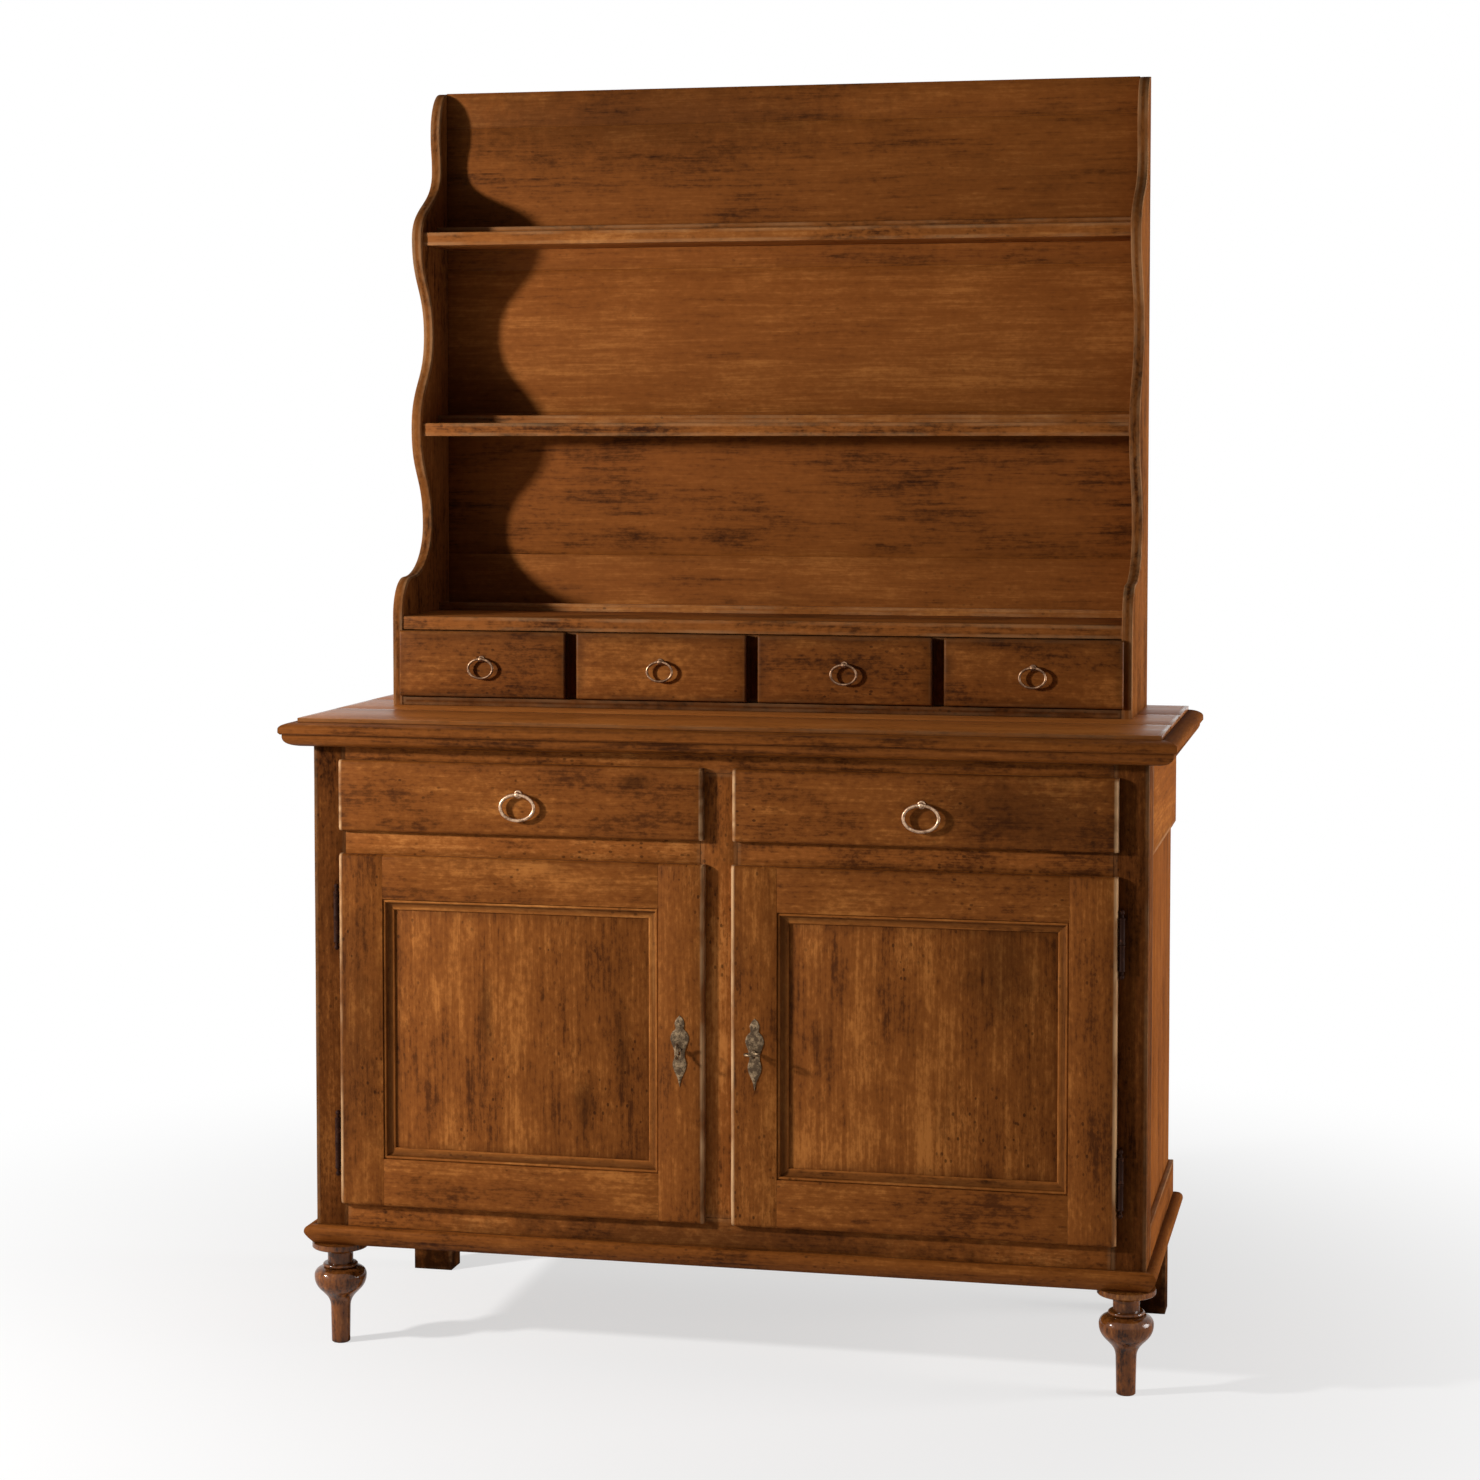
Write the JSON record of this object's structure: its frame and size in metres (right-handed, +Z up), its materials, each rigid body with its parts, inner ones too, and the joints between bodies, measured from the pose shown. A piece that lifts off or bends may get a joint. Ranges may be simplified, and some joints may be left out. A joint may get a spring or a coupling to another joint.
{
  "type": "kitchen dresser",
  "caption": "Stained wooden kitchen dresser: a base with panelled lock-up doors and wide drawers on turned feet, below an open plate rack with waved sides and small drawers.",
  "frame": {"origin": "on the floor, below the middle of the worktop's outline", "axes": "+Z up, -Y towards the person who opens the doors, +X to that person's right"},
  "size_m": [1.386, 0.543, 2.009],
  "materials": {
    "stained_wood": "walnut stain, waxed",
    "plain_wood": "plain, unstained",
    "aged_brass": "aged, rubbed",
    "dark_iron": "darkened"
  },
  "bodies": {
    "carcass": {"worktop": "stained_wood", "under_moulding": "stained_wood", "front_posts": "stained_wood", "rear_posts": "stained_wood", "front_frame": "stained_wood", "strike_plates": "aged_brass", "side_rails": "stained_wood", "side_panels": "stained_wood", "base_floor": "plain_wood", "base_back": "plain_wood", "inner_shelf": "plain_wood", "drawer_runners": "plain_wood", "plinth_moulding": "stained_wood", "front_feet": "stained_wood", "post_hinge_halves": "aged_brass", "rack_sides": "stained_wood", "rack_shelves": "stained_wood", "plate_strips": "stained_wood", "rack_back_boards": "stained_wood", "rack_floor": "stained_wood"},
    "left_door": {"left_door_frame": "stained_wood", "left_door_panel": "stained_wood", "left_door_moulding": "stained_wood", "left_door_hinge_halves": "aged_brass", "left_door_lock": "dark_iron", "left_door_escutcheon": "aged_brass"},
    "left_bolt": {"left_door_bolt": "dark_iron"},
    "left_key": {"left_key": "dark_iron"},
    "left_drawer": {"left_drawer_front": "stained_wood", "left_drawer_box": "plain_wood", "left_drawer_eye": "aged_brass"},
    "left_ring": {"left_drawer_ring": "aged_brass"},
    "right_door": {"right_door_frame": "stained_wood", "right_door_panel": "stained_wood", "right_door_moulding": "stained_wood", "right_door_hinge_halves": "aged_brass", "right_door_lock": "dark_iron", "right_door_escutcheon": "aged_brass"},
    "right_bolt": {"right_door_bolt": "dark_iron"},
    "right_key": {"right_key": "dark_iron"},
    "right_drawer": {"right_drawer_front": "stained_wood", "right_drawer_box": "plain_wood", "right_drawer_eye": "aged_brass"},
    "right_ring": {"right_drawer_ring": "aged_brass"},
    "small_drawer_1": {"small_drawer_1_front": "stained_wood", "small_drawer_1_box": "plain_wood", "small_drawer_1_eye": "aged_brass"},
    "small_ring_1": {"small_drawer_1_ring": "aged_brass"},
    "small_drawer_2": {"small_drawer_2_front": "stained_wood", "small_drawer_2_box": "plain_wood", "small_drawer_2_eye": "aged_brass"},
    "small_ring_2": {"small_drawer_2_ring": "aged_brass"},
    "small_drawer_3": {"small_drawer_3_front": "stained_wood", "small_drawer_3_box": "plain_wood", "small_drawer_3_eye": "aged_brass"},
    "small_ring_3": {"small_drawer_3_ring": "aged_brass"},
    "small_drawer_4": {"small_drawer_4_front": "stained_wood", "small_drawer_4_box": "plain_wood", "small_drawer_4_eye": "aged_brass"},
    "small_ring_4": {"small_drawer_4_ring": "aged_brass"}
  },
  "joints": [
    {"name": "left_door_swing", "type": "hinge", "parent": "carcass", "child": "left_door", "pos_m": [-0.6115, -0.2341, 0.5], "axis": [0, 0, -1], "range_deg": [0, 120]},
    {"name": "left_key_turn", "type": "hinge", "parent": "left_door", "child": "left_key", "pos_m": [-0.0585, -0.2285, 0.497], "axis": [0, 1, 0], "range_deg": [0, 180]},
    {"name": "left_bolt_slide", "type": "slide", "parent": "left_door", "child": "left_bolt", "axis": [1, 0, 0], "range_m": [0, 0.01]},
    {"name": "left_drawer_slide", "type": "slide", "parent": "carcass", "child": "left_drawer", "axis": [0, -1, 0], "range_m": [0, 0.33]},
    {"name": "left_ring_lift", "type": "hinge", "parent": "left_drawer", "child": "left_ring", "pos_m": [-0.31325, -0.2485, 0.8805], "axis": [-1, 0, 0], "range_deg": [0, 95]},
    {"name": "right_door_swing", "type": "hinge", "parent": "carcass", "child": "right_door", "pos_m": [0.6115, -0.2341, 0.5], "axis": [0, 0, 1], "range_deg": [0, 120]},
    {"name": "right_key_turn", "type": "hinge", "parent": "right_door", "child": "right_key", "pos_m": [0.0585, -0.2285, 0.497], "axis": [0, -1, 0], "range_deg": [0, 90]},
    {"name": "right_bolt_slide", "type": "slide", "parent": "right_door", "child": "right_bolt", "axis": [-1, 0, 0], "range_m": [0, 0.01]},
    {"name": "right_drawer_slide", "type": "slide", "parent": "carcass", "child": "right_drawer", "axis": [0, -1, 0], "range_m": [0, 0.33]},
    {"name": "right_ring_lift", "type": "hinge", "parent": "right_drawer", "child": "right_ring", "pos_m": [0.31325, -0.2485, 0.8805], "axis": [-1, 0, 0], "range_deg": [0, 95]},
    {"name": "small_drawer_1_slide", "type": "slide", "parent": "carcass", "child": "small_drawer_1", "axis": [0, -1, 0], "range_m": [0, 0.15]},
    {"name": "small_ring_1_lift", "type": "hinge", "parent": "small_drawer_1", "child": "small_ring_1", "pos_m": [-0.44812, -0.0035, 1.0695], "axis": [-1, 0, 0], "range_deg": [0, 95]},
    {"name": "small_drawer_2_slide", "type": "slide", "parent": "carcass", "child": "small_drawer_2", "axis": [0, -1, 0], "range_m": [0, 0.15]},
    {"name": "small_ring_2_lift", "type": "hinge", "parent": "small_drawer_2", "child": "small_ring_2", "pos_m": [-0.14938, -0.0035, 1.0695], "axis": [-1, 0, 0], "range_deg": [0, 95]},
    {"name": "small_drawer_3_slide", "type": "slide", "parent": "carcass", "child": "small_drawer_3", "axis": [0, -1, 0], "range_m": [0, 0.15]},
    {"name": "small_ring_3_lift", "type": "hinge", "parent": "small_drawer_3", "child": "small_ring_3", "pos_m": [0.14938, -0.0035, 1.0695], "axis": [-1, 0, 0], "range_deg": [0, 95]},
    {"name": "small_drawer_4_slide", "type": "slide", "parent": "carcass", "child": "small_drawer_4", "axis": [0, -1, 0], "range_m": [0, 0.15]},
    {"name": "small_ring_4_lift", "type": "hinge", "parent": "small_drawer_4", "child": "small_ring_4", "pos_m": [0.44812, -0.0035, 1.0695], "axis": [-1, 0, 0], "range_deg": [0, 95]}
  ],
  "couplings": [
    {"joint": "left_key_turn", "follows": "left_bolt_slide", "rad_per_m": 314.16},
    {"joint": "right_key_turn", "follows": "right_bolt_slide", "rad_per_m": 157.08}
  ]
}
